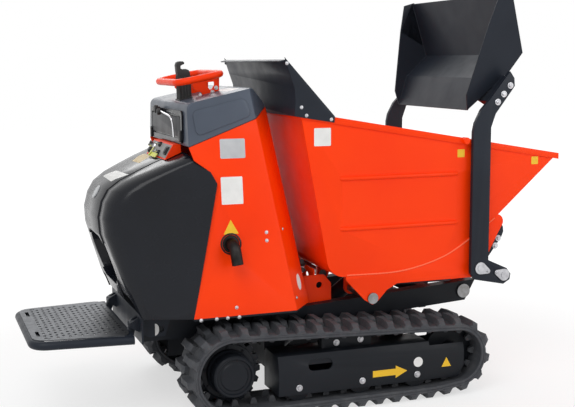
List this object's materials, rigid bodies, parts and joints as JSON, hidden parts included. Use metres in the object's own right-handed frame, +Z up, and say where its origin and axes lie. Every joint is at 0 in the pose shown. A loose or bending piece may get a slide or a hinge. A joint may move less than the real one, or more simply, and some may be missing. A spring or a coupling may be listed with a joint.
{
  "type": "tracked site dumper",
  "caption": "Tracked stand-on site dumper with a front-tipping skip, a self-loading shovel on side arms, a fold-up rear step and a lever console.",
  "frame": {"origin": "on the ground under the middle of the machine's length and width", "axes": "+X forwards, towards the skip and shovel; +Y to the machine's left; +Z up"},
  "size_m": [1.762, 0.75, 1.316],
  "materials": {
    "orange_paint": "gloss",
    "slate_paint": "satin",
    "bonnet_black": "gloss",
    "panel_grey": "satin",
    "black_plastic": "matte",
    "rubber_black": "matte",
    "bare_steel": "brushed",
    "chromed": "polished",
    "cast_grey": "rough",
    "silver_paint": "satin"
  },
  "bodies": {
    "chassis": {"chassis_rails": "slate_paint", "cross_members": "slate_paint", "deck": "slate_paint", "skip_support": "orange_paint", "pedestal": "orange_paint", "console": "slate_paint", "bonnet": "bonnet_black", "engine": "cast_grey", "tip_pins": "bare_steel", "tip_base": "slate_paint", "step_bracket": "slate_paint", "exhaust": "bare_steel", "console_panel": "panel_grey", "control_panel": "black_plastic", "joystick": "black_plastic", "grab_ring": "orange_paint", "ring_bracket": "orange_paint", "track_left": "rubber_black", "sprocket_left": "cast_grey", "final_drive_left": "silver_paint", "idler_left": "cast_grey", "rollers_left": "cast_grey", "track_frame_left": "slate_paint", "track_right": "rubber_black", "sprocket_right": "cast_grey", "final_drive_right": "silver_paint", "idler_right": "cast_grey", "rollers_right": "cast_grey", "track_frame_right": "slate_paint"},
    "skip": {"skip_shell": "orange_paint", "skip_rim": "orange_paint", "skip_skirt_left": "orange_paint", "skip_skirt_right": "orange_paint", "skip_lugs": "orange_paint", "rest_pins": "bare_steel", "deflector": "slate_paint", "skip_guard": "slate_paint", "lift_base_pins": "bare_steel"},
    "loader": {"arm_left": "slate_paint", "arm_right": "slate_paint", "bucket": "slate_paint", "arm_pins": "chromed"},
    "step": {"step_plate": "panel_grey", "step_frame": "slate_paint"},
    "tip_barrel": {"tip_barrel": "slate_paint"},
    "tip_rod": {"tip_rod": "chromed"},
    "lift_barrels": {"lift_barrels": "slate_paint"},
    "lift_rods": {"lift_rods": "chromed"}
  },
  "joints": [
    {"name": "skip_tip", "type": "hinge", "parent": "chassis", "child": "skip", "pos_m": [0.592, 0, 0.309], "axis": [0, 1, 0], "range_deg": [0, 75]},
    {"name": "loader_lift", "type": "hinge", "parent": "skip", "child": "loader", "pos_m": [0.574, 0, 0.415], "axis": [0, -1, 0], "range_deg": [-111, 0]},
    {"name": "step_fold", "type": "hinge", "parent": "chassis", "child": "step", "pos_m": [-0.562, 0, 0.293], "axis": [0, 1, 0], "range_deg": [0, 70]},
    {"name": "tip_swing", "type": "hinge", "parent": "chassis", "child": "tip_barrel", "pos_m": [-0.04, 0, 0.125], "axis": [0, -1, 0], "range_deg": [0, 1]},
    {"name": "tip_extend", "type": "slide", "parent": "tip_barrel", "child": "tip_rod", "axis": [0.8182, 0, 0.5749], "range_m": [0, 0.334]},
    {"name": "lift_swing", "type": "hinge", "parent": "skip", "child": "lift_barrels", "pos_m": [0.22, 0, 0.39], "axis": [0, -1, 0], "range_deg": [-10, 0]},
    {"name": "lift_extend", "type": "slide", "parent": "lift_barrels", "child": "lift_rods", "axis": [1, 0, -0.0068], "range_m": [-0.146, 0]}
  ],
  "couplings": [
    {"joint": "tip_swing", "follows": "skip_tip", "ratio": 0.00693},
    {"joint": "tip_extend", "follows": "skip_tip", "m_per_rad": 0.2537},
    {"joint": "lift_swing", "follows": "loader_lift", "ratio": 0.08128},
    {"joint": "lift_extend", "follows": "loader_lift", "m_per_rad": 0.07452}
  ]
}
